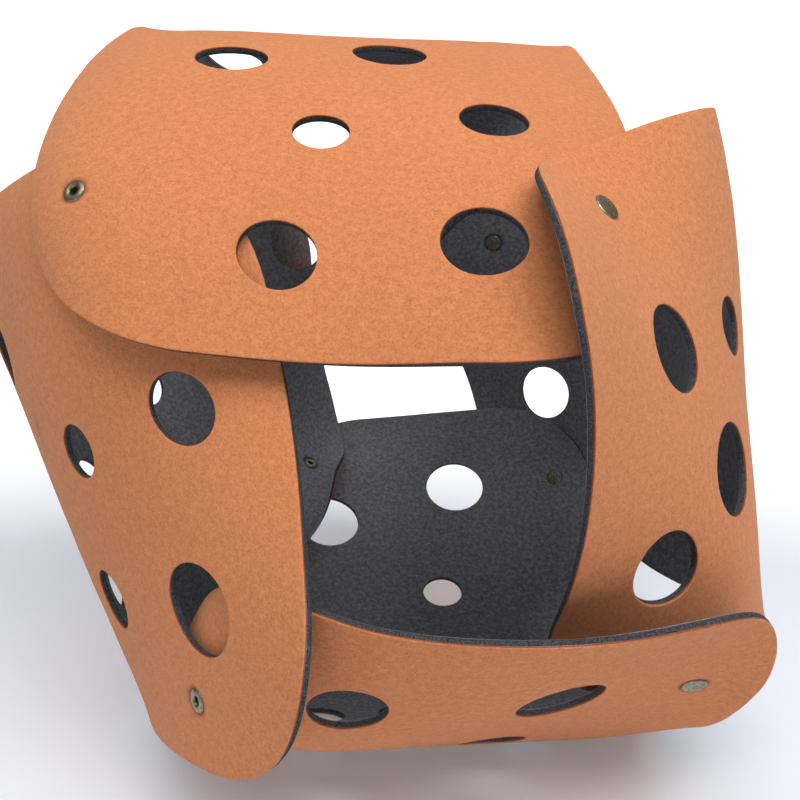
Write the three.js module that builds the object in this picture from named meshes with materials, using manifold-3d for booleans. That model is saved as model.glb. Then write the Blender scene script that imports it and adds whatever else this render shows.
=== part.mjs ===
// Felt cat tunnel: four long two-ply felt panels, punched with round holes,
// bowed outwards and snapped to each other at their rounded corners.
// Millimetres, +Z up, the front opening faces -Y. The origin is under the
// middle of the tunnel, on the surface that it rests on.
import * as THREE from 'three';
import Module from 'manifold-3d';

const wasm = await Module();
wasm.setup();

// ---------------------------------------------------------------- sizes
const PANEL_WIDTH = 270;
const PANEL_LENGTH = 560;
const CORNER_RADIUS = 75;
const FELT = 3.6;               // orange ply and charcoal ply together
const SNAP_FROM_SIDE = 29.2;    // snap centre to the long edge
const SNAP_FROM_END = 74.5;     // snap centre to the short edge
const REST_FLAT = 2.5;          // how far the lowest felt is pressed flat
const COLUMN_CELLS = 10;        // facets across a panel
const ROW_CELLS = 15;           // facets along its straight long edge
const CORNER_CELLS = 4;         // facets along each rounded corner
const HOLE_SIDES = 12;
const SNAP_HOLE_SIDES = 6;

// snap fastener, outer half and inner half
const SNAP = {
  hole_r: 3.3, stem_r: 2.4, bore_r: 1.7, cap_r: 5.8, ring_r: 5.1,
  cap_h: 1.7, ring_h: 1.3, outer_clear: 1.0, inner_clear: 2.0, meet: 1.0,
};

// ---------------------------------------------------------------- panels
// One row for each cross-section of a panel, from its front end to its rear:
//   v       place along the flat panel
//   slide   sideways place of the section's middle
//   along   place of the section's middle along the tunnel
//   rise    distance of the section's middle from the tunnel's axis
//   lean    turn of the section about the tunnel's axis, degrees
//   skew    turn of the section within the panel, degrees
//   bow     even turn towards each side, degrees
//   curl_a  extra curl-in of the side u = 0, degrees
//   curl_b  extra curl-in of the side u = PANEL_WIDTH, degrees
const COLUMNS = ['v', 'slide', 'along', 'rise', 'lean', 'skew', 'bow', 'curl_a', 'curl_b'];
// One row for each punched hole: u across the flat panel, v along it, radius
const HOLE_COLUMNS = ['u', 'v', 'r'];

const table = (columns, rows) => rows.map(
  (row) => Object.fromEntries(columns.map((name, i) => [name, row[i]])));

const PANELS = {
  panel_top: {
    across: [1, 0, 0], out: [0, 0, 1],
    sections: table(COLUMNS, [
      [0, -24.8, -196.7, 38.1, 1.8, -18.8, -58.1, 126, 262.7],
      [80, -30.4, -159.3, 104, -0.5, -3.7, -21.9, 71.6, 96.5],
      [175, -29.1, -86.2, 165.1, -3, 1, -4.6, 38.2, 27.4],
      [280, -31, 11.9, 205.5, 0.1, 0.9, -5.1, 11.8, 20],
      [385, -31.9, 109.8, 189.8, -0.5, 0.9, -5.8, -11.3, -21.2],
      [480, -31.3, 165.4, 113.2, -1.5, 2.8, 27.8, 11.6, -24.4],
      [560, -31.4, 190.2, 38.2, 3.9, 17.6, 22.9, -2.8, -5.1],
    ]),
    holes: table(HOLE_COLUMNS, [
      [112.7, 46.3, 16], [193.6, 52, 16.6],
      [127.5, 116, 12.3], [202.3, 133.6, 15.6],
      [78.3, 180, 17.3], [154, 208.3, 19],
      [203, 280, 13], [112, 268, 13],
      [52, 346, 19.5],
      [178, 348, 15],
      [107, 416, 23],
      [84, 501, 21], [150, 487, 18],
    ]),
  },
  panel_left: {
    across: [0, 0, 1], out: [-1, 0, 0],
    sections: table(COLUMNS, [
      [0, 6.7, -191.8, 41.5, 11.8, 25.7, -44.1, 107.7, 106.3],
      [80, -3.5, -165.6, 112, 16.6, 5.3, -4.2, -7.9, 55.4],
      [175, -27.8, -98.7, 173.3, 20.4, 4.6, 5.3, -4.1, 17.6],
      [280, -43.1, -2.9, 191.5, 27.3, 2, -12.9, 8.6, 3.4],
      [385, -26.8, 86.6, 148.5, 34.9, 3.6, -6.2, -5.1, 9],
      [480, -0.7, 164.6, 114.2, 12.6, -13.1, -0.1, 116.3, -14.5],
      [560, 27.8, 224.2, 71.6, 5.7, -19.1, 10, 88.3, -15.4],
    ]),
    holes: table(HOLE_COLUMNS, [
      [150.7, 46.8, 15.3], [69.2, 59.7, 19],
      [138.4, 117.8, 12.5], [66.3, 142.6, 15],
      [196, 192, 16], [56, 242, 12],
      [118, 270, 14],
      [70, 326, 13], [166, 356, 19],
      [95, 440, 20],
    ]),
  },
  panel_bottom: {
    across: [-1, 0, 0], out: [0, 0, -1],
    sections: table(COLUMNS, [
      [0, -37.4, -227.5, 55.6, 0.3, 0.7, 26.4, 16, 89.5],
      [80, -25.7, -178.5, 115.4, 5.2, -8.7, 11.4, -33, 81.2],
      [175, -19.1, -100.9, 169.6, -0.6, -1.5, 4.4, 8.8, 20.5],
      [280, -21.2, 1, 190.8, -0.2, 0.2, -0.3, -1, 0.8],
      [385, -25, 100.1, 163.1, -2.2, 1.6, 7.2, -19.3, 12.6],
      [480, -31.6, 178.8, 111.1, 0.6, 5.8, 22.2, 7.1, 10.7],
      [560, -26.4, 227, 54.5, 10.9, 21.4, -3.9, 39.5, 45.9],
    ]),
    holes: table(HOLE_COLUMNS, [
      [183.8, 52, 16], [93, 67, 19],
      [179, 124, 12.5], [108, 138, 17],
      [196, 214, 15], [80, 214, 14],
      [147, 226, 15],
      [59, 310, 17], [205.5, 328, 16],
      [120.9, 375.8, 14.6],
      [216.7, 433.2, 24], [114.4, 483, 24],
    ]),
  },
  panel_right: {
    across: [0, 0, -1], out: [1, 0, 0],
    sections: table(COLUMNS, [
      [0, 5.8, -225.5, 63.4, 2.5, 20.7, 34.6, 52.5, 0.5],
      [80, -4.8, -177.3, 122.7, 16.2, 1, 23.1, 15.2, 40.9],
      [175, -20.4, -96.9, 169.1, 9, 4.3, 5.6, 8, -23.9],
      [280, -27.5, 3.2, 186, -0.4, 2.7, 32.3, -6.4, -12],
      [385, -24.2, 104.8, 180.6, 14.3, 0.2, 2.1, 6, -0.1],
      [480, -7.6, 176.7, 123.6, 18.9, 3.6, 37.1, -19.8, 4.9],
      [560, 12.9, 221.1, 61.2, 23.7, 9, 57.7, -31.8, 42.8],
    ]),
    holes: table(HOLE_COLUMNS, [
      [90.5, 73.6, 18], [175.2, 44.8, 16.9],
      [96.6, 140.4, 13.5], [150, 101, 20],
      [204, 166, 14],
      [90, 262, 15], [186, 278, 13],
      [70, 332, 16], [182, 372, 18],
      [92, 440, 19],
      [166.7, 488.6, 22],
    ]),
  },
};

// ------------------------------------------------------- section surface
const vec = (a) => new THREE.Vector3(...a);
const ALONG = new THREE.Vector3(0, 1, 0);
const rad = THREE.MathUtils.degToRad;

// natural cubic spline through the rows of a table, for one column
function spline(rows, name) {
  const x = rows.map((row) => row.v);
  const y = rows.map((row) => row[name]);
  const n = x.length;
  const curve = new Array(n).fill(0);
  const c = new Array(n).fill(0);
  const d = new Array(n).fill(0);
  for (let i = 1; i < n - 1; i++) {
    const h0 = x[i] - x[i - 1];
    const h1 = x[i + 1] - x[i];
    const slope = 6 * ((y[i + 1] - y[i]) / h1 - (y[i] - y[i - 1]) / h0);
    const pivot = 2 * (h0 + h1) - h0 * c[i - 1];
    c[i] = h1 / pivot;
    d[i] = (slope - h0 * d[i - 1]) / pivot;
  }
  for (let i = n - 2; i > 0; i--) curve[i] = d[i] - c[i] * curve[i + 1];
  return (v) => {
    let i = 0;
    while (i < n - 2 && v > x[i + 1]) i++;
    const h = x[i + 1] - x[i];
    const a = (x[i + 1] - v) / h;
    const b = (v - x[i]) / h;
    return a * y[i] + b * y[i + 1]
      + ((a * a * a - a) * curve[i] + (b * b * b - b) * curve[i + 1]) * h * h / 6;
  };
}

class PanelSurface {
  constructor({ across, out, sections }) {
    this.across = vec(across);
    this.out = vec(out);
    this.at = Object.fromEntries(COLUMNS.slice(1).map((name) => [name, spline(sections, name)]));
  }

  middle(v) {
    return this.across.clone().multiplyScalar(this.at.slide(v))
      .addScaledVector(ALONG, this.at.along(v))
      .addScaledVector(this.out, this.at.rise(v));
  }

  // middle of the felt's thickness
  point(u, v) {
    const run = this.middle(v + 0.5).sub(this.middle(v - 0.5)).normalize();
    const lean = rad(this.at.lean(v));
    const skew = rad(this.at.skew(v));
    const side = this.across.clone().multiplyScalar(Math.cos(skew) * Math.cos(lean))
      .addScaledVector(this.out, Math.cos(skew) * Math.sin(lean))
      .addScaledVector(ALONG, Math.sin(skew));
    const normal = side.clone().cross(run).normalize();
    if (normal.dot(this.out) < 0) normal.negate();
    const half = PANEL_WIDTH / 2;
    const s = (u - half) / half;
    const bow = rad(this.at.bow(v));
    const curlA = rad(this.at.curl_a(v));
    const curlB = rad(this.at.curl_b(v));
    const steps = 24;
    let x = 0;
    let drop = 0;
    for (let i = 0; i < steps; i++) {
      const t = s * (i + 0.5) / steps;
      const turn = bow * t + curlB * Math.max(t, 0) ** 3 - curlA * Math.max(-t, 0) ** 3;
      x += Math.cos(turn);
      drop += Math.sin(turn);
    }
    const scale = s * half / steps;
    return this.middle(v).addScaledVector(side, x * scale).addScaledVector(normal, -drop * scale);
  }

  normal(u, v) {
    const du = this.point(u + 1, v).sub(this.point(u - 1, v));
    const dv = this.point(u, v + 1).sub(this.point(u, v - 1));
    const n = du.cross(dv).normalize();
    return this.across.clone().cross(ALONG).dot(this.out) < 0 ? n.negate() : n;
  }
}

// ------------------------------------------------------------ solid tools
function solid(positions, triangles) {
  return new wasm.Manifold(new wasm.Mesh({
    numProp: 3,
    vertProperties: new Float32Array(positions.flatMap((p) => [p.x, p.y, p.z])),
    triVerts: new Uint32Array(triangles.flat()),
  }));
}

function geometry(body) {
  const mesh = body.getMesh();
  const g = new THREE.BufferGeometry();
  g.setAttribute('position', new THREE.BufferAttribute(new Float32Array(mesh.vertProperties), 3));
  g.setIndex(new THREE.BufferAttribute(new Uint32Array(mesh.triVerts), 1));
  g.computeVertexNormals();
  return g;
}

// round punch along an axis
function punch(centre, axis, r, reach, sides) {
  const a = Math.abs(axis.x) < 0.7 ? new THREE.Vector3(1, 0, 0) : new THREE.Vector3(0, 1, 0);
  const e1 = a.cross(axis).normalize();
  const e2 = axis.clone().cross(e1);
  const positions = [];
  const triangles = [];
  for (const end of [-reach, reach]) {
    for (let i = 0; i < sides; i++) {
      const t = 2 * Math.PI * i / sides;
      positions.push(centre.clone().addScaledVector(axis, end)
        .addScaledVector(e1, r * Math.cos(t)).addScaledVector(e2, r * Math.sin(t)));
    }
  }
  for (let i = 0; i < sides; i++) {
    const j = (i + 1) % sides;
    triangles.push([i, j, sides + j], [i, sides + j, sides + i]);
    if (i > 0 && i < sides - 1) triangles.push([0, i + 1, i], [sides, sides + i, sides + i + 1]);
  }
  return solid(positions, triangles);
}

// hole for a snap's stem, and the felt pressed down where its flange bears
function snapSeat(point, axis, clear) {
  const seat = FELT / 2 + clear - 0.4;
  return [
    punch(point, axis, SNAP.hole_r, 14, SNAP_HOLE_SIDES),
    punch(point.clone().addScaledVector(axis, seat + 4), axis, (SNAP.cap_r + 0.4) / Math.cos(Math.PI / SNAP_HOLE_SIDES), 4, SNAP_HOLE_SIDES),
  ];
}

// rows of the flat panel, closer together round the corners
function rowPlaces() {
  const places = [];
  for (let i = 0; i < CORNER_CELLS; i++) {
    places.push(CORNER_RADIUS * (1 - Math.cos(Math.PI / 2 * i / CORNER_CELLS)));
  }
  const straight = PANEL_LENGTH - 2 * CORNER_RADIUS;
  for (let i = 0; i <= ROW_CELLS; i++) places.push(CORNER_RADIUS + straight * i / ROW_CELLS);
  for (let i = CORNER_CELLS - 1; i >= 0; i--) places.push(PANEL_LENGTH - places[i]);
  return places;
}

// how far the outline stands in from the long edge at v
function inset(v) {
  const end = Math.min(v, PANEL_LENGTH - v);
  if (end >= CORNER_RADIUS) return 0;
  const d = CORNER_RADIUS - end;
  return CORNER_RADIUS - Math.sqrt(Math.max(CORNER_RADIUS ** 2 - d * d, 0));
}

function feltBlank(surface, floor) {
  const rows = rowPlaces();
  const positions = [];
  const grid = [[], []];
  const mirrored = surface.across.clone().cross(ALONG).dot(surface.out) < 0;
  rows.forEach((v, i) => {
    grid[0].push([]);
    grid[1].push([]);
    for (let j = 0; j <= COLUMN_CELLS; j++) {
      const even = j / COLUMN_CELLS;
      const f = 0.2 * even + 0.8 * (0.5 - 0.5 * Math.cos(Math.PI * even));
      const side = inset(v);
      const u = side + (PANEL_WIDTH - 2 * side) * f;
      const p = surface.point(u, v);
      const n = surface.normal(u, v);
      [FELT / 2, -FELT / 2].forEach((offset, face) => {
        const q = p.clone().addScaledVector(n, offset);
        q.z = Math.max(q.z, floor + (face === 0 ? 0 : FELT));
        grid[face][i].push(positions.push(q) - 1);
      });
    }
  });
  const triangles = [];
  const quad = (a, b, c, d) => {
    if (mirrored) triangles.push([a, c, b], [a, d, c]);
    else triangles.push([a, b, c], [a, c, d]);
  };
  const last = rows.length - 1;
  for (let i = 0; i < last; i++) {
    for (let j = 0; j < COLUMN_CELLS; j++) {
      quad(grid[0][i][j], grid[0][i][j + 1], grid[0][i + 1][j + 1], grid[0][i + 1][j]);
      quad(grid[1][i][j], grid[1][i + 1][j], grid[1][i + 1][j + 1], grid[1][i][j + 1]);
    }
    quad(grid[0][i][0], grid[0][i + 1][0], grid[1][i + 1][0], grid[1][i][0]);
    quad(grid[0][i][COLUMN_CELLS], grid[1][i][COLUMN_CELLS], grid[1][i + 1][COLUMN_CELLS], grid[0][i + 1][COLUMN_CELLS]);
  }
  for (let j = 0; j < COLUMN_CELLS; j++) {
    quad(grid[0][0][j], grid[1][0][j], grid[1][0][j + 1], grid[0][0][j + 1]);
    quad(grid[0][last][j], grid[0][last][j + 1], grid[1][last][j + 1], grid[1][last][j]);
  }
  return solid(positions, triangles);
}

// --------------------------------------------------------------- crossings
// At the front each panel's u = 0 corner lies over its neighbour's
// u = PANEL_WIDTH corner, and at the rear it lies under it. face is what
// shows of the outer half: a smooth cap, or the ring of a hollow post.
const FRONT = { v: SNAP_FROM_END };
const REAR = { v: PANEL_LENGTH - SNAP_FROM_END };
const NEAR_SIDE = SNAP_FROM_SIDE;
const FAR_SIDE = PANEL_WIDTH - SNAP_FROM_SIDE;
const CROSSINGS = [
  { name: 'front_top_left', over: 'panel_top', over_u: NEAR_SIDE, under: 'panel_left', under_u: FAR_SIDE, ...FRONT, face: 'ring' },
  { name: 'front_left_bottom', over: 'panel_left', over_u: NEAR_SIDE, under: 'panel_bottom', under_u: FAR_SIDE, ...FRONT, face: 'ring' },
  { name: 'front_bottom_right', over: 'panel_bottom', over_u: NEAR_SIDE, under: 'panel_right', under_u: FAR_SIDE, ...FRONT, face: 'cap' },
  { name: 'front_right_top', over: 'panel_right', over_u: NEAR_SIDE, under: 'panel_top', under_u: FAR_SIDE, ...FRONT, face: 'cap' },
  { name: 'rear_left_top', over: 'panel_left', over_u: FAR_SIDE, under: 'panel_top', under_u: NEAR_SIDE, ...REAR, face: 'cap' },
  { name: 'rear_bottom_left', over: 'panel_bottom', over_u: FAR_SIDE, under: 'panel_left', under_u: NEAR_SIDE, ...REAR, face: 'cap' },
  { name: 'rear_right_bottom', over: 'panel_right', over_u: FAR_SIDE, under: 'panel_bottom', under_u: NEAR_SIDE, ...REAR, face: 'ring' },
  { name: 'rear_top_right', over: 'panel_top', over_u: FAR_SIDE, under: 'panel_right', under_u: NEAR_SIDE, ...REAR, face: 'ring' },
];

// profile of one snap half, x outwards from its axis, y away from the felt;
// y = 0 is the felt's face and the stem reaches down through the felt
function snapProfile(kind, low, stemEnd) {
  const { stem_r, bore_r, cap_h, ring_h } = SNAP;
  const flange_r = kind === 'cap' ? SNAP.cap_r : SNAP.ring_r;
  if (kind === 'cap') {
    const top = low + cap_h;
    return [[0, stemEnd], [stem_r, stemEnd], [stem_r, low], [flange_r - 0.3, low], [flange_r, low + 0.3],
      [flange_r - 0.1, low + 0.75], [flange_r - 1.1, top - 0.35], [flange_r - 3, top - 0.08], [0, top]];
  }
  const top = low + ring_h;
  return [[bore_r, stemEnd], [stem_r, stemEnd], [stem_r, low], [flange_r - 0.3, low], [flange_r, low + 0.3],
    [flange_r - 0.2, low + 0.7], [flange_r - 1.2, top - 0.15], [bore_r + 1.5, top], [bore_r + 0.35, top - 0.2],
    [bore_r, top - 0.7], [bore_r, stemEnd]];
}

function snapHalf(name, kind, clear, centre, axis, stemEnd) {
  const points = snapProfile(kind, clear, stemEnd).map(([x, y]) => new THREE.Vector2(x, y));
  const mesh = new THREE.Mesh(new THREE.LatheGeometry(points, 24), brass);
  mesh.name = name;
  mesh.position.copy(centre);
  mesh.quaternion.setFromUnitVectors(new THREE.Vector3(0, 1, 0), axis);
  return mesh;
}

// --------------------------------------------------------------- assembly
const felt = new THREE.MeshStandardMaterial({ name: 'orange_felt', color: 0xd0834f, roughness: 0.95, metalness: 0 });
const brass = new THREE.MeshStandardMaterial({ name: 'aged_brass', color: 0x8a846c, roughness: 0.4, metalness: 0.9 });

const tunnel = new THREE.Group();
tunnel.name = 'felt_cat_tunnel';

const surfaces = Object.fromEntries(
  Object.entries(PANELS).map(([name, panel]) => [name, new PanelSurface(panel)]));
const bottomMiddle = surfaces.panel_bottom.point(PANEL_WIDTH / 2, PANEL_LENGTH / 2);
const floor = bottomMiddle.z - FELT / 2 + REST_FLAT;

const joints = CROSSINGS.map((crossing) => {
  const over = surfaces[crossing.over];
  const under = surfaces[crossing.under];
  const overPoint = over.point(crossing.over_u, crossing.v);
  const underPoint = under.point(crossing.under_u, crossing.v);
  const overAxis = over.normal(crossing.over_u, crossing.v);
  const underAxis = under.normal(crossing.under_u, crossing.v);
  const gap = overPoint.distanceTo(underPoint);
  return { ...crossing, overPoint, underPoint, overAxis, underAxis, gap };
});

for (const [name, panel] of Object.entries(PANELS)) {
  const surface = surfaces[name];
  let body = feltBlank(surface, floor);
  const punches = panel.holes.map(({ u, v, r }) => punch(surface.point(u, v), surface.normal(u, v), r, 14, HOLE_SIDES));
  for (const joint of joints) {
    if (joint.over === name) punches.push(...snapSeat(joint.overPoint, joint.overAxis, SNAP.outer_clear));
    if (joint.under === name) punches.push(...snapSeat(joint.underPoint, joint.underAxis.clone().negate(), SNAP.inner_clear));
  }
  for (const tool of punches) body = body.subtract(tool);
  const mesh = new THREE.Mesh(geometry(body), felt);
  mesh.name = name;
  tunnel.add(mesh);
}

for (const joint of joints) {
  const outFace = joint.overPoint.clone().addScaledVector(joint.overAxis, FELT / 2);
  const inFace = joint.underPoint.clone().addScaledVector(joint.underAxis, -FELT / 2);
  const stem = -(joint.gap / 2 + FELT / 2 - SNAP.meet / 2);
  const back = joint.face === 'cap' ? 'ring' : 'cap';
  tunnel.add(snapHalf(`snap_${joint.name}_outer`, joint.face, SNAP.outer_clear, outFace, joint.overAxis, stem));
  tunnel.add(snapHalf(`snap_${joint.name}_inner`, back, SNAP.inner_clear, inFace, joint.underAxis.clone().negate(), stem));
}

// centre the tunnel over the origin and stand it on z = 0
const bounds = new THREE.Box3().setFromObject(tunnel, true);
const centre = bounds.getCenter(new THREE.Vector3());
tunnel.position.set(-centre.x, -centre.y, -bounds.min.z);
tunnel.updateMatrixWorld(true);

export default tunnel;
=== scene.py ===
"""A felt cat tunnel: four long two-ply felt panels, orange outside and charcoal
inside, punched with round holes, bowed outwards and snapped to each other at
their rounded corners. Lengths are millimetres until a mesh is made."""
import math

import bpy
import numpy as np
from mathutils import Matrix, Vector, noise
from mathutils.geometry import delaunay_2d_cdt


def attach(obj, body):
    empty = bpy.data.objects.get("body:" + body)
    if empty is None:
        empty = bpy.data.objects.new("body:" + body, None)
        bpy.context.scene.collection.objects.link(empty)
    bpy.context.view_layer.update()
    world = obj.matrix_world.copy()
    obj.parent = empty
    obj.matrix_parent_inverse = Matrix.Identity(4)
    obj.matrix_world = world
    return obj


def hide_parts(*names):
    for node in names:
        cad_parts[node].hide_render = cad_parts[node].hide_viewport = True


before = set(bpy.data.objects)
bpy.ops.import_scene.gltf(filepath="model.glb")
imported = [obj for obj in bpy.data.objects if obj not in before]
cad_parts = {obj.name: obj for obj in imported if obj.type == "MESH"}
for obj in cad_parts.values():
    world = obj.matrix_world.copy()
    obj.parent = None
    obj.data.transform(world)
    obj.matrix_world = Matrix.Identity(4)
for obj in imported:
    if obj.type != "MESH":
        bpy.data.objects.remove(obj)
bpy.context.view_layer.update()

# ------------------------------------------------------------------- sizes
PANEL_WIDTH, PANEL_LENGTH, CORNER_RADIUS = 270.0, 560.0, 75.0
FELT = 3.6              # both plies
ORANGE_PLY = 1.0
SNAP_FROM_SIDE, SNAP_FROM_END = 29.2, 74.5
REST_FLAT = 2.5
SHIFT = np.array([26.652, -5.774, 190.1])   # from the tables' axis to the row frame
GRID = 3.0

# ------------------------------------------------------------------ panels
# One row for each cross-section of a panel, front end to rear, as in the CAD:
# place along the flat panel, sideways place, place along the tunnel, distance
# from the axis, lean and skew in degrees, even turn towards each side, and
# the extra curl-in of the side u = 0 and of the side u = PANEL_WIDTH.
COLUMNS = ("v", "slide", "along", "rise", "lean", "skew", "bow", "curl_a", "curl_b")
HOLE_COLUMNS = ("u", "v", "r")


def table(columns, rows):
    return [dict(zip(columns, row)) for row in rows]


PANELS = {
    "panel_top": {
        "across": (1, 0, 0), "out": (0, 0, 1),
        "sections": table(COLUMNS, [
            (0, -24.8, -196.7, 38.1, 1.8, -18.8, -58.1, 126, 262.7),
            (80, -30.4, -159.3, 104, -0.5, -3.7, -21.9, 71.6, 96.5),
            (175, -29.1, -86.2, 165.1, -3, 1, -4.6, 38.2, 27.4),
            (280, -31, 11.9, 205.5, 0.1, 0.9, -5.1, 11.8, 20),
            (385, -31.9, 109.8, 189.8, -0.5, 0.9, -5.8, -11.3, -21.2),
            (480, -31.3, 165.4, 113.2, -1.5, 2.8, 27.8, 11.6, -24.4),
            (560, -31.4, 190.2, 38.2, 3.9, 17.6, 22.9, -2.8, -5.1),
        ]),
        "holes": table(HOLE_COLUMNS, [
            (112.7, 46.3, 16), (193.6, 52, 16.6),
            (127.5, 116, 12.3), (202.3, 133.6, 15.6),
            (78.3, 180, 17.3), (154, 208.3, 19),
            (203, 280, 13), (112, 268, 13),
            (52, 346, 19.5),
            (178, 348, 15),
            (107, 416, 23),
            (84, 501, 21), (150, 487, 18),
        ]),
    },
    "panel_left": {
        "across": (0, 0, 1), "out": (-1, 0, 0),
        "sections": table(COLUMNS, [
            (0, 6.7, -191.8, 41.5, 11.8, 25.7, -44.1, 107.7, 106.3),
            (80, -3.5, -165.6, 112, 16.6, 5.3, -4.2, -7.9, 55.4),
            (175, -27.8, -98.7, 173.3, 20.4, 4.6, 5.3, -4.1, 17.6),
            (280, -43.1, -2.9, 191.5, 27.3, 2, -12.9, 8.6, 3.4),
            (385, -26.8, 86.6, 148.5, 34.9, 3.6, -6.2, -5.1, 9),
            (480, -0.7, 164.6, 114.2, 12.6, -13.1, -0.1, 116.3, -14.5),
            (560, 27.8, 224.2, 71.6, 5.7, -19.1, 10, 88.3, -15.4),
        ]),
        "holes": table(HOLE_COLUMNS, [
            (150.7, 46.8, 15.3), (69.2, 59.7, 19),
            (138.4, 117.8, 12.5), (66.3, 142.6, 15),
            (196, 192, 16), (56, 242, 12),
            (118, 270, 14),
            (70, 326, 13), (166, 356, 19),
            (95, 440, 20),
        ]),
    },
    "panel_bottom": {
        "across": (-1, 0, 0), "out": (0, 0, -1),
        "sections": table(COLUMNS, [
            (0, -37.4, -227.5, 55.6, 0.3, 0.7, 26.4, 16, 89.5),
            (80, -25.7, -178.5, 115.4, 5.2, -8.7, 11.4, -33, 81.2),
            (175, -19.1, -100.9, 169.6, -0.6, -1.5, 4.4, 8.8, 20.5),
            (280, -21.2, 1, 190.8, -0.2, 0.2, -0.3, -1, 0.8),
            (385, -25, 100.1, 163.1, -2.2, 1.6, 7.2, -19.3, 12.6),
            (480, -31.6, 178.8, 111.1, 0.6, 5.8, 22.2, 7.1, 10.7),
            (560, -26.4, 227, 54.5, 10.9, 21.4, -3.9, 39.5, 45.9),
        ]),
        "holes": table(HOLE_COLUMNS, [
            (183.8, 52, 16), (93, 67, 19),
            (179, 124, 12.5), (108, 138, 17),
            (196, 214, 15), (80, 214, 14),
            (147, 226, 15),
            (59, 310, 17), (205.5, 328, 16),
            (120.9, 375.8, 14.6),
            (216.7, 433.2, 24), (114.4, 483, 24),
        ]),
    },
    "panel_right": {
        "across": (0, 0, -1), "out": (1, 0, 0),
        "sections": table(COLUMNS, [
            (0, 5.8, -225.5, 63.4, 2.5, 20.7, 34.6, 52.5, 0.5),
            (80, -4.8, -177.3, 122.7, 16.2, 1, 23.1, 15.2, 40.9),
            (175, -20.4, -96.9, 169.1, 9, 4.3, 5.6, 8, -23.9),
            (280, -27.5, 3.2, 186, -0.4, 2.7, 32.3, -6.4, -12),
            (385, -24.2, 104.8, 180.6, 14.3, 0.2, 2.1, 6, -0.1),
            (480, -7.6, 176.7, 123.6, 18.9, 3.6, 37.1, -19.8, 4.9),
            (560, 12.9, 221.1, 61.2, 23.7, 9, 57.7, -31.8, 42.8),
        ]),
        "holes": table(HOLE_COLUMNS, [
            (90.5, 73.6, 18), (175.2, 44.8, 16.9),
            (96.6, 140.4, 13.5), (150, 101, 20),
            (204, 166, 14),
            (90, 262, 15), (186, 278, 13),
            (70, 332, 16), (182, 372, 18),
            (92, 440, 19),
            (166.7, 488.6, 22),
        ]),
    },
}

# At the front each panel's u = 0 corner lies over its neighbour's far corner,
# and at the rear it lies under it.
CROSSINGS = [
    # name, over, under, at the rear, what shows of the outer half
    ("front_top_left", "panel_top", "panel_left", False, "ring"),
    ("front_left_bottom", "panel_left", "panel_bottom", False, "ring"),
    ("front_bottom_right", "panel_bottom", "panel_right", False, "cap"),
    ("front_right_top", "panel_right", "panel_top", False, "cap"),
    ("rear_left_top", "panel_left", "panel_top", True, "cap"),
    ("rear_bottom_left", "panel_bottom", "panel_left", True, "cap"),
    ("rear_right_bottom", "panel_right", "panel_bottom", True, "ring"),
    ("rear_top_right", "panel_top", "panel_right", True, "ring"),
]


# ---------------------------------------------------------- section surface
def natural_spline(x, y):
    x, y = np.asarray(x, float), np.asarray(y, float)
    n, h = len(x), np.diff(np.asarray(x, float))
    a, b = np.zeros((n, n)), np.zeros(n)
    a[0, 0] = a[-1, -1] = 1
    for i in range(1, n - 1):
        a[i, i - 1:i + 2] = h[i - 1], 2 * (h[i - 1] + h[i]), h[i]
        b[i] = 6 * ((y[i + 1] - y[i]) / h[i] - (y[i] - y[i - 1]) / h[i - 1])
    m = np.linalg.solve(a, b)

    def at(v):
        v = np.asarray(v, float)
        i = np.clip(np.searchsorted(x, v) - 1, 0, n - 2)
        w = x[i + 1] - x[i]
        p, q = (x[i + 1] - v) / w, (v - x[i]) / w
        return p * y[i] + q * y[i + 1] + ((p ** 3 - p) * m[i] + (q ** 3 - q) * m[i + 1]) * w * w / 6

    return at


def unit(a):
    return a / np.linalg.norm(a, axis=-1, keepdims=True)


ALONG = np.array([0.0, 1.0, 0.0])


class PanelSurface:
    """The middle of a panel's thickness, from flat places (u, v)."""

    def __init__(self, across, out, sections, holes):
        self.across, self.out, self.holes = np.array(across, float), np.array(out, float), holes
        v = [row["v"] for row in sections]
        self.at = {name: natural_spline(v, [row[name] for row in sections]) for name in COLUMNS[1:]}
        self.mirrored = float(np.cross(self.across, ALONG) @ self.out) < 0

    def middle(self, v):
        return (self.at["slide"](v)[:, None] * self.across + self.at["along"](v)[:, None] * ALONG
                + self.at["rise"](v)[:, None] * self.out)

    def point(self, u, v):
        u, v = np.atleast_1d(np.asarray(u, float)), np.atleast_1d(np.asarray(v, float))
        run = unit(self.middle(v + 0.5) - self.middle(v - 0.5))
        lean, skew = np.radians(self.at["lean"](v))[:, None], np.radians(self.at["skew"](v))[:, None]
        side = np.cos(skew) * (np.cos(lean) * self.across + np.sin(lean) * self.out) + np.sin(skew) * ALONG
        normal = unit(np.cross(side, run))
        normal = normal * np.where(normal @ self.out < 0, -1, 1)[:, None]
        half = PANEL_WIDTH / 2
        s = (u - half) / half
        bow, curl_a, curl_b = (np.radians(self.at[name](v)) for name in ("bow", "curl_a", "curl_b"))
        x, drop, steps = 0.0, 0.0, 24
        for i in range(steps):
            t = s * (i + 0.5) / steps
            turn = bow * t + curl_b * np.maximum(t, 0) ** 3 - curl_a * np.maximum(-t, 0) ** 3
            x, drop = x + np.cos(turn), drop + np.sin(turn)
        scale = s * half / steps
        return self.middle(v) + side * (x * scale)[:, None] - normal * (drop * scale)[:, None]

    def normal(self, u, v):
        u, v = np.atleast_1d(np.asarray(u, float)), np.atleast_1d(np.asarray(v, float))
        n = unit(np.cross(self.point(u + 1, v) - self.point(u - 1, v), self.point(u, v + 1) - self.point(u, v - 1)))
        return -n if self.mirrored else n


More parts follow.
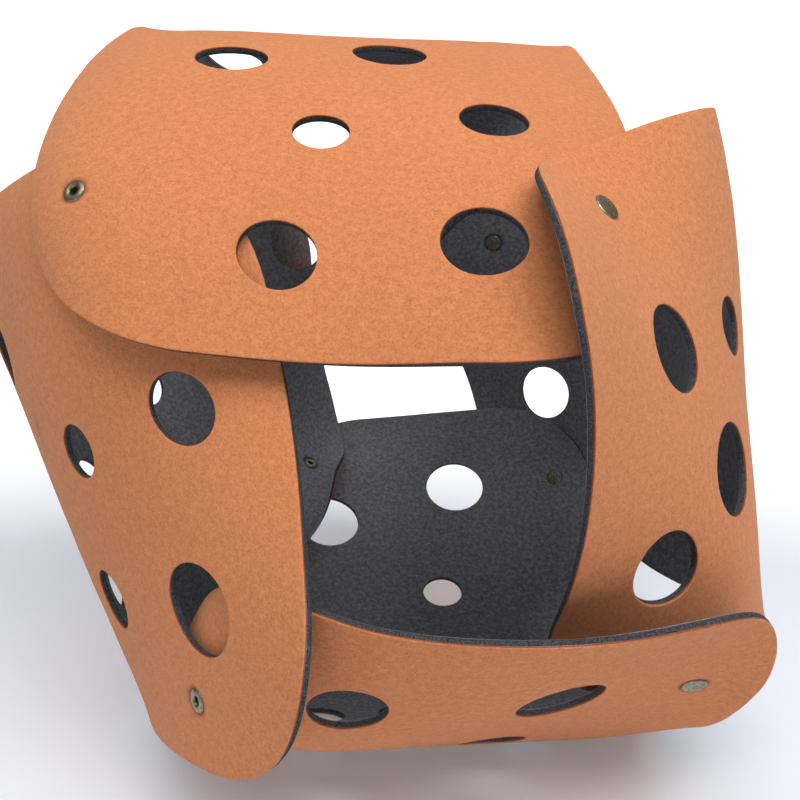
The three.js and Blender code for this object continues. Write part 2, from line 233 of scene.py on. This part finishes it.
surfaces = {name: PanelSurface(**p) for name, p in PANELS.items()}
FLOOR = float(surfaces["panel_bottom"].point(PANEL_WIDTH / 2, PANEL_LENGTH / 2)[0, 2]) - FELT / 2 + REST_FLAT


def placed(points):
    """From the tables' axis to the row frame, in metres."""
    return (np.asarray(points) + SHIFT) / 1000


# --------------------------------------------------------------- snap places
def snap_places():
    found = []
    for name, over, under, rear, face in CROSSINGS:
        v = PANEL_LENGTH - SNAP_FROM_END if rear else SNAP_FROM_END
        near, far = SNAP_FROM_SIDE, PANEL_WIDTH - SNAP_FROM_SIDE
        over_u, under_u = (far, near) if rear else (near, far)
        o, w = surfaces[over], surfaces[under]
        found.append({
            "name": name, "face": face, "over": over, "under": under,
            "over_uv": (over_u, v), "under_uv": (under_u, v),
            "over_at": o.point(over_u, v)[0], "under_at": w.point(under_u, v)[0],
            "over_axis": o.normal(over_u, v)[0], "under_axis": w.normal(under_u, v)[0],
        })
    return found


SNAPS = snap_places()
DIMPLE = 0.55          # how deep a flange presses its ply
CAP_R, RING_R, STEM_R, BORE_R = 5.9, 5.1, 2.6, 2.0


# -------------------------------------------------------------- felt meshes
def outline(step=1.5):
    """Points round the flat panel and the outward direction at each."""
    w, h, r = PANEL_WIDTH, PANEL_LENGTH, CORNER_RADIUS
    corners = [((w - r, r), -90), ((w - r, h - r), 0), ((r, h - r), 90), ((r, r), 180)]
    p, n = [], []
    arc = max(8, int(r * math.pi / 2 / step))
    for i, ((cx, cy), start) in enumerate(corners):
        for k in range(arc + 1):
            a = math.radians(start + 90 * k / arc)
            p.append((cx + r * math.cos(a), cy + r * math.sin(a)))
            n.append((math.cos(a), math.sin(a)))
        (nx, ny), s2 = corners[(i + 1) % 4]
        a = math.radians(start + 90)
        q0 = np.array(p[-1])
        q1 = np.array((nx + r * math.cos(math.radians(s2)), ny + r * math.sin(math.radians(s2))))
        count = int(np.linalg.norm(q1 - q0) / step)
        for k in range(1, count):
            p.append(tuple(q0 + (q1 - q0) * k / count))
            n.append((math.cos(a), math.sin(a)))
    return np.array(p), np.array(n)


def round_hole(u, v, r, step=1.3):
    count = max(20, int(2 * math.pi * r / step)) // 2 * 2
    a = -2 * np.pi * np.arange(count) / count
    d = np.stack([np.cos(a), np.sin(a)], 1)
    return np.array([u, v]) + r * d, -d


def outside_outline(p):
    """Signed distance from the rounded outline, negative inside."""
    c = np.array([PANEL_WIDTH, PANEL_LENGTH]) / 2
    q = np.abs(p - c) - (c - CORNER_RADIUS)
    return np.linalg.norm(np.maximum(q, 0), axis=1) + np.minimum(q.max(1), 0) - CORNER_RADIUS


# inset of each ring next to a cut edge, and how far the face has rounded off there
RINGS = [(0.0, 0.34), (0.14, 0.11), (0.42, 0.0)]
# wall from the orange face to the charcoal one: (stands out, depth below the orange face)
WALL = [(0.05, 0.62), (0.02, ORANGE_PLY - 0.06), (-0.07, ORANGE_PLY + 0.03), (0.03, ORANGE_PLY + 0.16),
        (0.10, 1.9), (0.10, 2.6), (0.05, FELT - 0.62)]


def flat_mesh(name):
    """Triangles of the flat cut panel: places, triangles, and each cut edge's rings."""
    surface = surfaces[name]
    rng = np.random.default_rng(sum(map(ord, name)))
    cuts = [outline()] + [round_hole(h["u"], h["v"], h["r"]) for h in surface.holes]
    snap_holes = [s["over_uv"] for s in SNAPS if s["over"] == name] + [s["under_uv"] for s in SNAPS if s["under"] == name]
    cuts += [round_hole(u, v, STEM_R + 0.15, 0.8) for u, v in snap_holes]
    places, drop, edges, rims = [], [], [], []

    def add(points, fall):
        first = len(places)
        places.extend(map(tuple, points))
        drop.extend([fall] * len(points))
        return first

    for p, n in cuts:
        for k, (inset, fall) in enumerate(RINGS):
            first, count = add(p - n * inset, fall), len(p)
            edges += [(first + i, first + (i + 1) % count) for i in range(count)]
            if k == 0:
                rims.append((np.arange(first, first + count), n))
        add((p - n * 1.5)[::2], 0.0)
    rows = int(PANEL_LENGTH / (GRID * 0.866)) + 2
    inner = []
    for j in range(rows):
        u = np.arange(-GRID, PANEL_WIDTH + GRID, GRID) + (j % 2) * GRID / 2
        inner.append(np.stack([u, np.full(len(u), j * GRID * 0.866)], 1))
    inner = np.concatenate(inner)
    inner = inner + rng.uniform(-0.12, 0.12, inner.shape) * GRID
    away = -outside_outline(inner)
    for h in surface.holes:
        away = np.minimum(away, np.hypot(inner[:, 0] - h["u"], inner[:, 1] - h["v"]) - h["r"])
    for u, v in snap_holes:
        away = np.minimum(away, np.hypot(inner[:, 0] - u, inner[:, 1] - v) - STEM_R)
    add(inner[away > 1.5 + 0.45 * GRID], 0.0)

    made = delaunay_2d_cdt([Vector(p) for p in places], edges, [], 0, 1e-5)
    out_places, triangles, source = np.array([tuple(p) for p in made[0]]), np.array(made[2]), made[3]
    new_of = np.zeros(len(places), int)
    out_drop = np.zeros(len(out_places))
    for i, olds in enumerate(source):
        for old in olds:
            new_of[old] = i
            out_drop[i] = drop[old]
    # a hole holds only triangles between three points of its own edge
    loop = np.full(len(out_places), -1)
    for k, (ids, _) in enumerate(rims):
        loop[new_of[ids]] = k
    ends = loop[triangles]
    keep = ~((ends[:, 0] >= 0) & (ends[:, 0] == ends[:, 1]) & (ends[:, 1] == ends[:, 2]))
    return out_places, triangles[keep], out_drop, [(new_of[ids], n) for ids, n in rims], rng


def seat_depth(name, places, outer_face):
    """How far snap flanges press a face in."""
    depth = np.zeros(len(places))
    for s in SNAPS:
        at = s["over_uv"] if outer_face and s["over"] == name else s["under_uv"] if not outer_face and s["under"] == name else None
        if at:
            d = np.hypot(places[:, 0] - at[0], places[:, 1] - at[1])
            depth += DIMPLE * np.exp(-np.maximum(d - 4.2, 0) ** 2 / 9)
    return depth


def felt_panel(name, orange, charcoal):
    surface = surfaces[name]
    places, triangles, drop, rims, rng = flat_mesh(name)
    count = len(places)
    seed = 40.0 * len(name) + ord(name[-1])
    wave = np.array([0.30 * noise.noise(Vector((u / 46, v / 46, seed))) + 0.10 * noise.noise(Vector((u / 13, v / 13, seed + 9)))
                     for u, v in places])
    pitted = np.array([noise.noise(Vector((u / 3.1, v / 3.1, seed + 3))) for u, v in places]) * 0.05
    outer_h = FELT / 2 - drop - seat_depth(name, places, True) + wave + pitted
    inner_h = -FELT / 2 + drop + seat_depth(name, places, False) + wave + pitted

    flat, height, faces, plies = [places, places], [outer_h, inner_h], [], []
    tri = triangles if not surface.mirrored else triangles[:, ::-1]
    faces += [tri, tri[:, ::-1] + count]
    plies += [np.zeros(len(tri), int), np.ones(len(tri), int)]
    total = 2 * count
    for ids, n in rims:
        m = len(ids)
        previous = ids
        for k, (out, depth) in enumerate(WALL):
            jitter = rng.uniform(-0.055, 0.055, m)
            flat.append(places[ids] + n * (out + jitter)[:, None])
            height.append(FELT / 2 - depth + wave[ids] + rng.uniform(-0.03, 0.03, m))
            ring = total + np.arange(m)
            total += m
            faces.append(wall(previous, ring, surface.mirrored))
            plies.append(np.full(2 * m, 0 if depth < ORANGE_PLY else 1))
            previous = ring
        faces.append(wall(previous, ids + count, surface.mirrored))
        plies.append(np.full(2 * m, 1))
    flat, height = np.concatenate(flat), np.concatenate(height)
    faces, plies = np.concatenate(faces), np.concatenate(plies)
    body = surface.point(flat[:, 0], flat[:, 1]) + surface.normal(flat[:, 0], flat[:, 1]) * height[:, None]
    depth = np.clip(FELT / 2 - height, 0, FELT)
    body[:, 2] = np.maximum(body[:, 2], FLOOR + depth * (height < FELT / 2 - 0.2))
    body = placed(body)

    mesh = bpy.data.meshes.new("felt_" + name)
    mesh.vertices.add(len(body))
    mesh.vertices.foreach_set("co", body.ravel())
    mesh.loops.add(3 * len(faces))
    mesh.loops.foreach_set("vertex_index", faces.ravel().astype(np.int32))
    mesh.polygons.add(len(faces))
    mesh.polygons.foreach_set("loop_start", np.arange(len(faces), dtype=np.int32) * 3)
    mesh.polygons.foreach_set("material_index", plies.astype(np.int32))
    mesh.polygons.foreach_set("use_smooth", np.ones(len(faces), bool))
    mesh.update(calc_edges=True)
    mesh.validate()
    coordinates = mesh.attributes.new("flat", "FLOAT_VECTOR", "POINT")
    spread = np.column_stack([flat[:, 0], flat[:, 1], FELT / 2 - height]).astype(np.float32)
    coordinates.data.foreach_set("vector", spread.ravel())
    mesh.materials.append(orange)
    mesh.materials.append(charcoal)
    obj = bpy.data.objects.new("felt_" + name, mesh)
    bpy.context.scene.collection.objects.link(obj)
    cut = PANEL_WIDTH * PANEL_LENGTH - (4 - math.pi) * CORNER_RADIUS ** 2
    cut -= sum(math.pi * h["r"] ** 2 for h in surface.holes)
    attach(obj, "root")
    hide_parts(name)
    return obj, cut / 1e6


def wall(a, b, mirrored):
    """Two triangles for each step of a wall between two rings."""
    a2, b2 = np.roll(a, -1), np.roll(b, -1)
    t = np.concatenate([np.stack([a, b, a2], 1), np.stack([a2, b, b2], 1)])
    return t[:, ::-1] if mirrored else t


# ------------------------------------------------------------------- snaps
def lathe(rings, segments=56):
    """A turned shape from (radius, height) rings; a ring of radius 0 is a point."""
    points, faces, previous = [], [], None
    for r, h in rings:
        first = len(points)
        if r < 1e-6:
            points.append((0, 0, h))
            ring = [first] * segments
        else:
            points += [(r * math.cos(2 * math.pi * k / segments), r * math.sin(2 * math.pi * k / segments), h)
                       for k in range(segments)]
            ring = list(range(first, first + segments))
        if previous:
            for k in range(segments):
                j = (k + 1) % segments
                face = [previous[k], previous[j], ring[j], ring[k]]
                face = [x for i, x in enumerate(face) if x not in face[:i]]
                if len(face) > 2:
                    faces.append(face)
        previous = ring
    return points, faces


def rounded(rings, steps=3):
    """The same profile with a short curve at each inner corner."""
    out = [rings[0]]
    for i in range(1, len(rings) - 1):
        a, b, c = (np.array(rings[k]) for k in (i - 1, i, i + 1))
        ra, rc = np.linalg.norm(a - b), np.linalg.norm(c - b)
        d = min(0.42 * ra, 0.42 * rc, 0.35)
        p, q = b + (a - b) / ra * d, b + (c - b) / rc * d
        for k in range(steps + 1):
            t = k / steps
            out.append(tuple((1 - t) ** 2 * p + 2 * t * (1 - t) * b + t * t * q))
    return out + [rings[-1]]


def snap_half(name, kind, at, axis, seat, stem, node, brass):
    """seat is the height of the pressed felt above `at`, and stem how far the
    post and the part between the felts reach below it."""
    between = seat - FELT + 0.05
    under = [(4.4, stem + 0.15), (4.6, stem + 0.45), (4.6, between - 0.25), (4.2, between)]
    if kind == "cap":
        profile = [(0, stem), (4.2, stem)] + under + [(STEM_R, between), (STEM_R, seat - 0.1), (CAP_R - 0.7, seat - 0.1),
                   (CAP_R - 0.12, seat - 0.02), (CAP_R, seat + 0.28), (CAP_R - 0.1, seat + 0.66),
                   (CAP_R - 0.55, seat + 0.98), (CAP_R - 1.5, seat + 1.12), (CAP_R - 3.4, seat + 1.30), (0, seat + 1.38)]
    else:
        profile = [(BORE_R, stem), (4.2, stem)] + under + [(STEM_R, between), (STEM_R, seat - 0.1), (RING_R - 0.5, seat - 0.1),
                   (RING_R - 0.05, seat), (RING_R, seat + 0.25), (RING_R - 0.25, seat + 0.62),
                   (RING_R - 0.85, seat + 0.92), (BORE_R + 1.35, seat + 1.02), (BORE_R + 0.5, seat + 0.86),
                   (BORE_R + 0.05, seat + 0.40), (BORE_R, seat - 0.3), (BORE_R, stem)]
    points, faces = lathe(rounded(profile))
    mesh = bpy.data.meshes.new(name)
    mesh.from_pydata([tuple(np.array(p) / 1000) for p in points], [], faces)
    mesh.validate()
    for p in mesh.polygons:
        p.use_smooth = True
    spread = mesh.attributes.new("flat", "FLOAT_VECTOR", "POINT")
    spread.data.foreach_set("vector", np.array(points, np.float32).ravel())
    mesh.materials.append(brass)
    obj = bpy.data.objects.new(name, mesh)
    bpy.context.scene.collection.objects.link(obj)
    turn = Vector((0, 0, 1)).rotation_difference(Vector(axis)).to_matrix().to_4x4()
    obj.matrix_world = Matrix.Translation(Vector(placed(at))) @ turn
    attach(obj, "root")
    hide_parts(node)
    return obj


# --------------------------------------------------------------- materials
class Tree:
    """Short names for building a node material."""

    def __init__(self, name):
        self.material = bpy.data.materials.new(name)
        self.material.use_nodes = True
        self.tree = self.material.node_tree
        self.tree.nodes.clear()

    def node(self, kind, inputs=None, **settings):
        n = self.tree.nodes.new("ShaderNode" + kind)
        for key, value in settings.items():
            setattr(n, key, value)
        for key, value in (inputs or {}).items():
            if isinstance(value, bpy.types.NodeSocket):
                self.tree.links.new(value, n.inputs[key])
            else:
                n.inputs[key].default_value = value
        return n

    def math(self, operation, a, b=0.0, c=0.0, clamp=False):
        return self.node("Math", {0: a, 1: b, 2: c}, operation=operation, use_clamp=clamp).outputs[0]

    def vector(self, operation, a, b=(0, 0, 0), scale=1.0):
        inputs = {0: a, "Scale": scale} if operation == "SCALE" else {0: a, 1: b}
        return self.node("VectorMath", inputs, operation=operation).outputs[0]

    def noise(self, vector, scale, detail=2.0, rough=0.5):
        return self.node("TexNoise", {"Vector": vector, "Scale": scale, "Detail": detail, "Roughness": rough}, normalize=True)

    def mix(self, factor, a, b, blend="MIX"):
        n = self.node("Mix", data_type="RGBA", blend_type=blend)
        for key, value in (("Factor_Float", factor), ("A_Color", a), ("B_Color", b)):
            socket = next(s for s in n.inputs if s.identifier == key)
            if isinstance(value, bpy.types.NodeSocket):
                self.tree.links.new(value, socket)
            else:
                socket.default_value = value
        return next(s for s in n.outputs if s.identifier == "Result_Color")

    def ramp(self, value, low, high, a=0.0, b=1.0):
        return self.node("MapRange", {0: value, 1: low, 2: high, 3: a, 4: b}, clamp=True).outputs[0]

    def finish(self, shader):
        self.node("OutputMaterial", {"Surface": shader.outputs[0]})
        return self.material


def fibres(t, place, turns, width, length, seed):
    """A mat of short bent fibres: thin ridges in several directions, 0 to 1."""
    bend = t.noise(t.vector("ADD", place, (seed, seed * 0.7, 0)), 0.16, 1.0)
    shifted = t.vector("ADD", place, t.vector("SCALE", t.vector("SUBTRACT", bend.outputs["Color"], (0.5, 0.5, 0.5)), scale=7.0))
    best = None
    for k, turn in enumerate(turns):
        turned = t.node("Mapping", {"Vector": shifted, "Rotation": (0, 0, math.radians(turn)),
                                    "Location": (seed + 13.7 * k, 5.1 * k, 0),
                                    "Scale": (1 / length, 1 / width, 1 / width)}, vector_type="TEXTURE").outputs[0]
        # TEXTURE divides by the scale, so the sizes go in as they are
        t.tree.nodes[-1].inputs["Scale"].default_value = (length, width, width)
        n = t.noise(turned, 1.0, 1.0, 0.6).outputs["Factor" if "Factor" in t.tree.nodes[-1].outputs else "Fac"]
        ridge = t.math("SUBTRACT", 1.0, t.math("MULTIPLY", t.math("ABSOLUTE", t.math("SUBTRACT", n, 0.5)), 9.0), clamp=True)
        best = ridge if best is None else t.math("MAXIMUM", best, ridge)
    return best


def fac(node):
    return node.outputs["Factor"] if "Factor" in node.outputs else node.outputs["Fac"]


def felt_material(name, base, dark, light, edge, seed, sheen, tint, clumps):
    t = Tree(name)
    place = t.node("Attribute", attribute_type="GEOMETRY", attribute_name="flat").outputs["Vector"]
    mat = fibres(t, place, (81, 24, 139), 0.78, 9.0, seed)
    loose = fibres(t, place, (52, 112), 0.9, 13.0, seed + 40.0)
    grain = fac(t.noise(t.vector("ADD", place, (seed, 3.0, 1.0)), 0.95, 3.0, 0.64))
    clump = fac(t.noise(t.vector("ADD", place, (4.0, seed, 6.0)), 0.33, 3.0, 0.62))
    broad = fac(t.noise(t.vector("ADD", place, (9.0, seed, 7.0)), 0.012, 2.0, 0.5))
    colour = t.mix(t.ramp(grain, 0.36, 0.64), dark, light)
    colour = t.mix(0.50, colour, base)
    colour = t.mix(t.math("MULTIPLY", mat, 0.36), colour, light)
    colour = t.mix(t.math("MULTIPLY", t.math("MULTIPLY", loose, t.ramp(clump, 0.42, 0.62)), 0.45), colour, light)
    shade = t.ramp(clump, 0.32, 0.68, 1.0 - clumps, 1.0 + clumps)
    shade = t.math("MULTIPLY", shade, t.ramp(broad, 0.3, 0.7, 0.98, 1.02))
    grey = t.node("CombineColor", {0: shade, 1: shade, 2: shade}).outputs[0]
    colour = t.mix(1.0, colour, grey, "MULTIPLY")
    depth = t.node("SeparateXYZ", {0: place}).outputs[2]
    if edge[1] == "down":      # the orange ply's own cut edge
        cut = t.ramp(depth, 0.18, 0.5)
    else:                      # the charcoal ply's cut edge
        cut = t.math("MULTIPLY", t.ramp(depth, ORANGE_PLY - 0.02, ORANGE_PLY + 0.02), t.ramp(depth, FELT - 0.42, FELT - 0.2, 1.0, 0.0))
    speck = fac(t.noise(t.vector("ADD", place, (2.0, 8.0, seed)), 1.5, 2.0, 0.7))
    worn = t.mix(t.ramp(speck, 0.40, 0.66), edge[0], edge[2])
    colour = t.mix(t.math("MULTIPLY", cut, 0.94), colour, worn)
    height = t.math("ADD", t.math("MULTIPLY", mat, 0.5), t.math("MULTIPLY", grain, 0.9))
    bump = t.node("Bump", {"Height": height, "Strength": 0.8, "Distance": 0.00024}).outputs[0]
    shader = t.node("BsdfPrincipled", {"Base Color": colour, "Roughness": 0.92, "Normal": bump,
                                       "Sheen Weight": t.math("MULTIPLY", t.math("SUBTRACT", 1.0, cut), sheen),
                                       "Sheen Roughness": 0.45, "Sheen Tint": tint, "Specular IOR Level": 0.12})
    return t.finish(shader)


def brass_material():
    t = Tree("aged_brass_patina")
    place = t.node("Attribute", attribute_type="GEOMETRY", attribute_name="flat").outputs["Vector"]
    patina = fac(t.noise(place, 0.55, 4.0, 0.62))
    fine = fac(t.noise(place, 3.2, 2.0, 0.6))
    colour = t.mix(t.ramp(patina, 0.36, 0.66), (0.150, 0.130, 0.082, 1), (0.400, 0.355, 0.250, 1))
    colour = t.mix(t.ramp(fine, 0.5, 0.8, 0.0, 0.35), colour, (0.50, 0.46, 0.36, 1))
    rough = t.ramp(patina, 0.3, 0.7, 0.52, 0.30)
    bump = t.node("Bump", {"Height": fine, "Strength": 0.25, "Distance": 0.00006}).outputs[0]
    shader = t.node("BsdfPrincipled", {"Base Color": colour, "Metallic": 0.92, "Roughness": rough, "Normal": bump})
    return t.finish(shader)


def floor_material():
    t = Tree("pale_floor_painted_fill_glow")
    place = t.node("NewGeometry").outputs["Position"]
    far = t.node("VectorMath", {0: place, 1: (0, -0.55, 0)}, operation="DISTANCE").outputs["Value"]
    mottled = fac(t.noise(place, 2.0, 2.0, 0.5))
    colour = t.mix(mottled, (0.785, 0.815, 0.885, 1), (0.80, 0.83, 0.90, 1))
    # painted glow: the floor's emission lifts the shadows cast on it, and its blue tint offsets the orange bounce
    # from the felt there; the blue-grey base colour is partly the floor's own tint and partly offsets that bounce
    # too
    shader = t.node("BsdfPrincipled", {"Base Color": colour, "Roughness": 0.6, "Specular IOR Level": 0.2,
                                       "Emission Color": (0.74, 0.92, 1.0, 1), "Emission Strength": 0.16})
    clear = t.node("BsdfTransparent")
    mixed = t.node("MixShader", {0: t.ramp(far, 0.85, 1.45), 1: shader.outputs[0], 2: clear.outputs[0]})
    return t.finish(mixed)


# ------------------------------------------------------------------- build
ORANGE = felt_material("orange_felt_ply", (0.575, 0.186, 0.066, 1), (0.44, 0.125, 0.038, 1), (0.76, 0.300, 0.130, 1),
                       ((0.23, 0.058, 0.025, 1), "down", (0.36, 0.105, 0.050, 1)), 3.0, 0.20, (1.0, 0.80, 0.62, 1), 0.055)
CHARCOAL = felt_material("charcoal_felt_ply", (0.132, 0.130, 0.141, 1), (0.060, 0.060, 0.066, 1), (0.330, 0.330, 0.350, 1),
                         ((0.016, 0.016, 0.018, 1), "wall", (0.100, 0.099, 0.105, 1)), 21.0, 0.16, (0.95, 0.95, 1.0, 1), 0.24)
BRASS = brass_material()

sheets = {name: felt_panel(name, ORANGE, CHARCOAL) for name in PANELS}

for s in SNAPS:
    gap = float(np.linalg.norm(s["over_at"] - s["under_at"]))
    stem = -(gap / 2) + 0.02
    seat = FELT / 2 - DIMPLE
    back = "ring" if s["face"] == "cap" else "cap"
    snap_half(f"snap_{s['name']}_outer_half", s["face"], s["over_at"], s["over_axis"], seat, stem,
              f"snap_{s['name']}_outer", BRASS)
    snap_half(f"snap_{s['name']}_inner_half", back, s["under_at"], -s["under_axis"], seat, stem,
              f"snap_{s['name']}_inner", BRASS)

# ------------------------------------------------------------------- stage
floor_mesh = bpy.data.meshes.new("floor")
side = 2.4
floor_mesh.from_pydata([(-side, -side, 0), (side, -side, 0), (side, side, 0), (-side, side, 0)], [], [(0, 1, 2, 3)])
floor = bpy.data.objects.new("floor", floor_mesh)
bpy.context.scene.collection.objects.link(floor)
floor_mesh.materials.append(floor_material())
floor.location.z = -0.0002

ROOM = 0.14
world = bpy.data.worlds.new("studio")
bpy.context.scene.world = world
world.use_nodes = True
# a white backdrop behind the tunnel and a dimmer room round it
sky = world.node_tree
towards = sky.nodes.new("ShaderNodeTexCoord")
direction = sky.nodes.new("ShaderNodeSeparateXYZ")
backdrop = sky.nodes.new("ShaderNodeMapRange")
backdrop.interpolation_type = "SMOOTHSTEP"
for key, value in ((1, 0.55), (2, 0.80), (3, ROOM), (4, 1.35)):
    backdrop.inputs[key].default_value = value
sky.links.new(towards.outputs["Generated"], direction.inputs[0])
sky.links.new(direction.outputs[1], backdrop.inputs[0])
background = sky.nodes["Background"]
background.inputs["Color"].default_value = (0.975, 0.965, 1.0, 1)
sky.links.new(backdrop.outputs[0], background.inputs["Strength"])


def softbox(name, place, towards, size, power, colour=(1, 1, 1)):
    light = bpy.data.lights.new(name, "AREA")
    light.shape, light.size, light.energy, light.color = "SQUARE", size, power, colour
    obj = bpy.data.objects.new(name, light)
    bpy.context.scene.collection.objects.link(obj)
    obj.location = place
    obj.rotation_euler = (Vector(towards) - Vector(place)).to_track_quat("-Z", "Y").to_euler()
    return obj


softbox("softbox_front", (0.0, -0.95, 1.55), (0.0, 0.0, 0.2), 0.8, 10.5)
softbox("softbox_front_right", (0.70, -0.85, 1.40), (0.0, 0.0, 0.2), 0.8, 13.0)
softbox("softbox_front_left", (-0.70, -0.85, 1.40), (0.0, 0.0, 0.2), 0.8, 5.5)
softbox("softbox_rear", (0.10, 0.50, 1.70), (0.0, 0.0, 0.2), 0.8, 1.5)

# camera at the photograph's viewing angle
AZIMUTH, ELEVATION, ROLL = 0.01473, 0.15779, 0.02776
DISTANCE, TARGET, FOCAL_PX = 505.02, np.array([0.960, 0.0, -5.724]), 819.35
look = np.array([math.sin(AZIMUTH) * math.cos(ELEVATION), math.cos(AZIMUTH) * math.cos(ELEVATION), -math.sin(ELEVATION)])
level = np.array([math.cos(AZIMUTH), -math.sin(AZIMUTH), 0.0])
upward = np.cross(level, look)
right = math.cos(ROLL) * level + math.sin(ROLL) * upward
upward = -math.sin(ROLL) * level + math.cos(ROLL) * upward
camera_data = bpy.data.cameras.new("camera")
camera_data.sensor_fit, camera_data.sensor_width = "HORIZONTAL", 36.0
camera_data.lens = FOCAL_PX / 800 * 36.0
camera_data.clip_start, camera_data.clip_end = 0.02, 50.0
camera = bpy.data.objects.new("camera", camera_data)
bpy.context.scene.collection.objects.link(camera)
eye = placed(TARGET - look * DISTANCE)
camera.matrix_world = Matrix((
    (right[0], upward[0], -look[0], eye[0]),
    (right[1], upward[1], -look[1], eye[1]),
    (right[2], upward[2], -look[2], eye[2]),
    (0, 0, 0, 1)))
bpy.context.scene.camera = camera

view = bpy.context.scene.view_settings
view.view_transform, view.look, view.exposure, view.gamma = "Standard", "None", 0.0, 1.0
